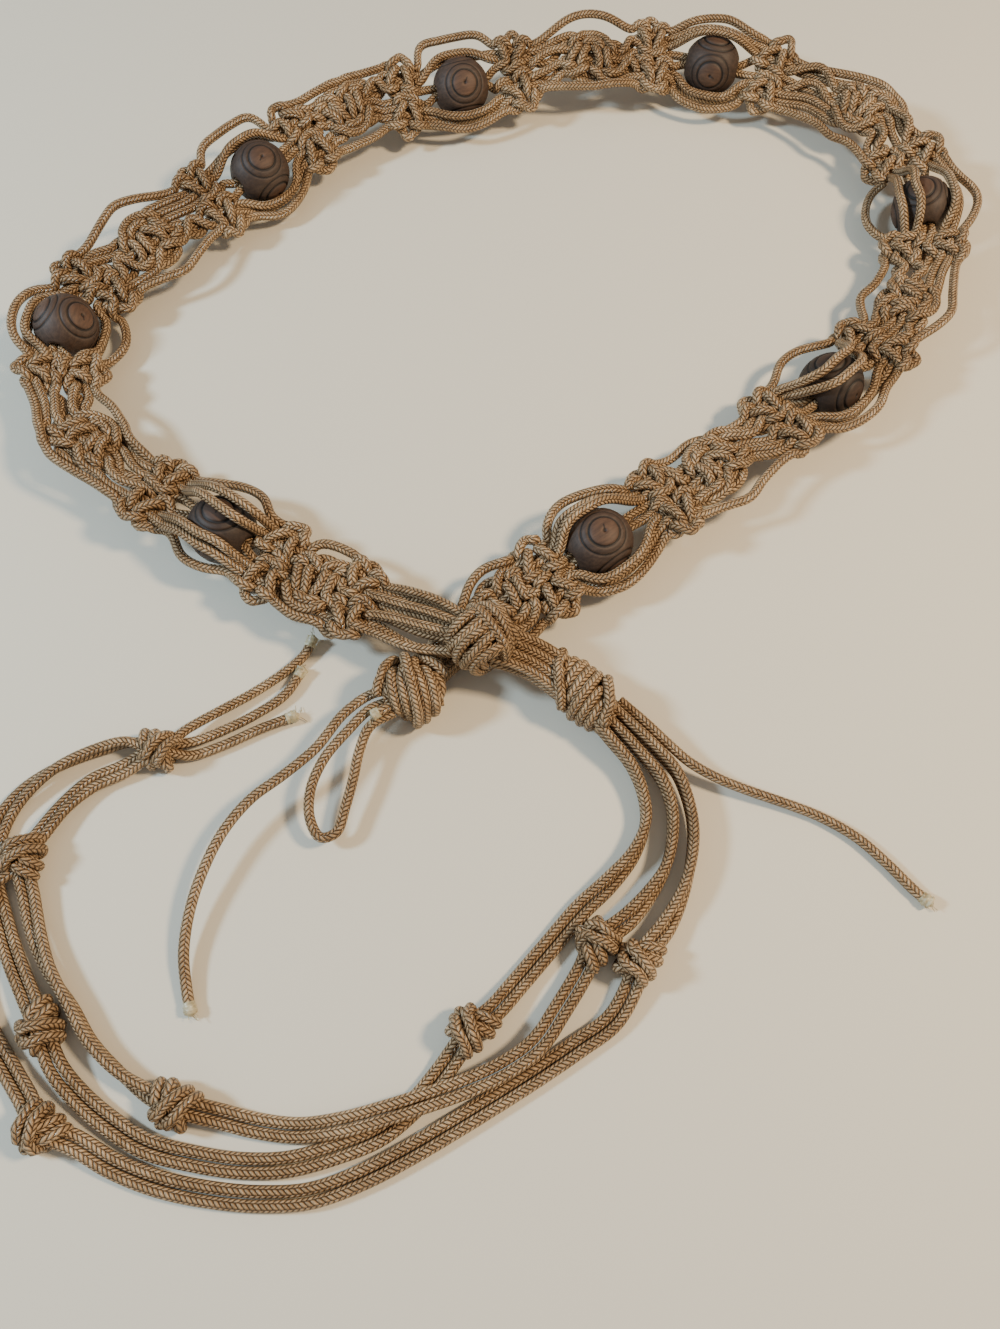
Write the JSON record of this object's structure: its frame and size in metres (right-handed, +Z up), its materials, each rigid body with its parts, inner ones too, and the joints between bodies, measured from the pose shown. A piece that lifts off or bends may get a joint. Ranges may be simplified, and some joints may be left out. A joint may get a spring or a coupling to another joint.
{
  "type": "macrame belt",
  "caption": "Macrame belt of braided tan cord lying in a closed loop, with square knots, round carved wooden beads, gathered ends tied through each other and long knotted tails.",
  "frame": {"origin": "middle of the area that the knotted band covers without its loose tails, at its lowest point, the surface that the belt lies on", "axes": "+Z up from the surface, +X to the right and +Y away from the tails, towards the far side of the loop"},
  "size_m": [0.3249, 0.3973, 0.0271],
  "materials": {
    "cord": "tan braided synthetic cord with a soft silky sheen",
    "bead_wood": "dark brown stained wood, satin, with carved rings"
  },
  "bodies": {
    "root": {"bead_1": "bead_wood", "bead_2": "bead_wood", "bead_3": "bead_wood", "bead_4": "bead_wood", "bead_5": "bead_wood", "bead_6": "bead_wood", "bead_7": "bead_wood", "bead_8": "bead_wood", "net_1": "cord", "net_2": "cord", "net_3": "cord", "net_4": "cord", "net_5": "cord", "net_6": "cord", "net_7": "cord", "net_8": "cord", "net_9": "cord", "knot_centre": "cord", "stopper_left": "cord", "stopper_right": "cord", "tail_knot_1": "cord", "tail_knot_2": "cord", "tail_knot_3": "cord", "tail_knot_4": "cord", "tail_knot_5": "cord", "tail_knot_6": "cord", "tail_knot_7": "cord", "tail_knot_8": "cord", "tail_a_1": "cord", "tail_a_2": "cord", "tail_a_3": "cord", "tail_a_4": "cord", "tail_b_1": "cord", "tail_b_2": "cord", "tail_b_3": "cord", "tail_b_4": "cord", "tail_c_1": "cord", "tail_c_2": "cord", "tail_c_3": "cord", "tail_c_4": "cord", "tail_c_5": "cord", "tail_d_1": "cord", "tail_d_2": "cord", "tail_d_3": "cord", "tail_d_4": "cord", "tail_e_1": "cord", "tail_e_2": "cord", "tail_e_3": "cord", "tail_f_1": "cord", "tail_f_2": "cord", "tail_f_3": "cord", "tail_single": "cord", "tail_left": "cord", "loop_left": "cord"}
  },
  "joints": []
}
